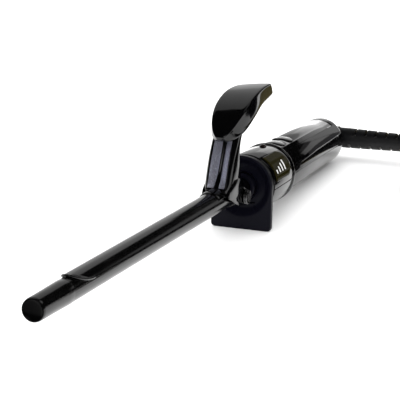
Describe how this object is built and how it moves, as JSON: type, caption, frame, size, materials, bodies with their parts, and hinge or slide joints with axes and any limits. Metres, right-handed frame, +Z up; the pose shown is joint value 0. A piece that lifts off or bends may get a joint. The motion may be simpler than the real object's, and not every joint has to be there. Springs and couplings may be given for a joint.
{
  "type": "curling iron",
  "caption": "Slim barrel curling iron with a sprung hair clip and thumb lever, a heat guard with a stand foot, push buttons and a swivel cord with a plug.",
  "frame": {"origin": "middle of the flat foot under the heat guard, on the surface that the iron rests on", "axes": "+X along the barrel towards its tip as seen from above, +Y to the side that the cord leaves, +Z up"},
  "size_m": [0.3529, 0.1504, 0.0656],
  "materials": {
    "glossy_black": "polished black moulded plastic",
    "lever_black": "high-gloss black moulded thumb lever",
    "satin_black": "satin heat-resistant plastic of the guard and stand foot",
    "speckled_grey": "satin blue-grey plate with fine speckles",
    "coated_metal": "smooth black ceramic coating on metal",
    "cap_black": "smooth heat-resistant cap",
    "spring_steel": "bright spring wire and rivets",
    "zinc_screw": "zinc-plated screws",
    "heat_aluminium": "extruded heat spreader",
    "ceramic_white": "fired ceramic heater core and bush",
    "panel_brown": "smoked label panel, left without marks",
    "lamp_red": "translucent lamp lens",
    "rubber_black": "matte moulded strain relief",
    "cord_black": "smooth black cord jacket",
    "board_green": "solder mask on a glass-fibre board",
    "component_dark": "moulded component cases",
    "brass_contact": "brass contacts and terminals",
    "pin_nickel": "nickel-plated plug pins",
    "wire_yellow": "glass-sleeved lead wire"
  },
  "bodies": {
    "iron": {"barrel_tube": "coated_metal", "cool_tip": "cap_black", "heater_core": "ceramic_white", "heat_spreaders": "heat_aluminium", "thermal_fuse": "brass_contact", "heater_leads": "wire_yellow", "barrel_socket": "satin_black", "clip_saddle": "spring_steel", "hinge_rivets": "spring_steel", "clip_springs": "spring_steel", "guard_plate": "satin_black", "guard_gasket": "rubber_black", "guard_screws": "zinc_screw", "collar_top": "glossy_black", "collar_bottom": "glossy_black", "label_panel": "panel_brown", "power_lamp": "lamp_red", "bead_ring": "glossy_black", "handle_top": "glossy_black", "handle_bottom": "glossy_black", "shell_screws": "zinc_screw", "button_strip": "glossy_black", "circuit_board": "board_green", "tact_switches": "component_dark", "power_triac": "component_dark", "filter_capacitor": "component_dark", "cord_terminals": "brass_contact", "swivel_keeper": "brass_contact"},
    "clip": {"clip_tongue": "coated_metal", "clip_lever": "lever_black", "lever_inlay": "speckled_grey", "tongue_rivets": "spring_steel"},
    "front_button": {"button_front": "glossy_black"},
    "rear_button": {"button_rear": "glossy_black"},
    "cord_set": {"swivel_neck": "glossy_black", "swivel_elbow": "glossy_black", "strain_relief": "rubber_black", "mains_cord": "cord_black", "cord_coil": "cord_black", "coil_tie": "rubber_black", "cord_tail": "cord_black", "plug_body": "rubber_black", "plug_pins": "pin_nickel"}
  },
  "joints": [
    {"name": "clip_hinge", "type": "hinge", "parent": "iron", "child": "clip", "pos_m": [0.01432, 0, 0.01962], "axis": [0, -1, 0], "range_deg": [0, 28], "stiffness_Nm_per_rad": 0.25, "springref_deg": -22.92, "deforming": ["clip_springs"]},
    {"name": "front_press", "type": "slide", "parent": "iron", "child": "front_button", "axis": [0.0617, 0, -0.9981], "range_m": [0, 0.0007], "stiffness_N_per_m": 300, "springref_m": -0.001},
    {"name": "rear_press", "type": "slide", "parent": "iron", "child": "rear_button", "axis": [0.0617, 0, -0.9981], "range_m": [0, 0.0007], "stiffness_N_per_m": 300, "springref_m": -0.001},
    {"name": "cord_swivel", "type": "hinge", "parent": "iron", "child": "cord_set", "pos_m": [-0.12947, 0, 0.01173], "axis": [0.9981, 0, 0.0617], "continuous": true}
  ]
}
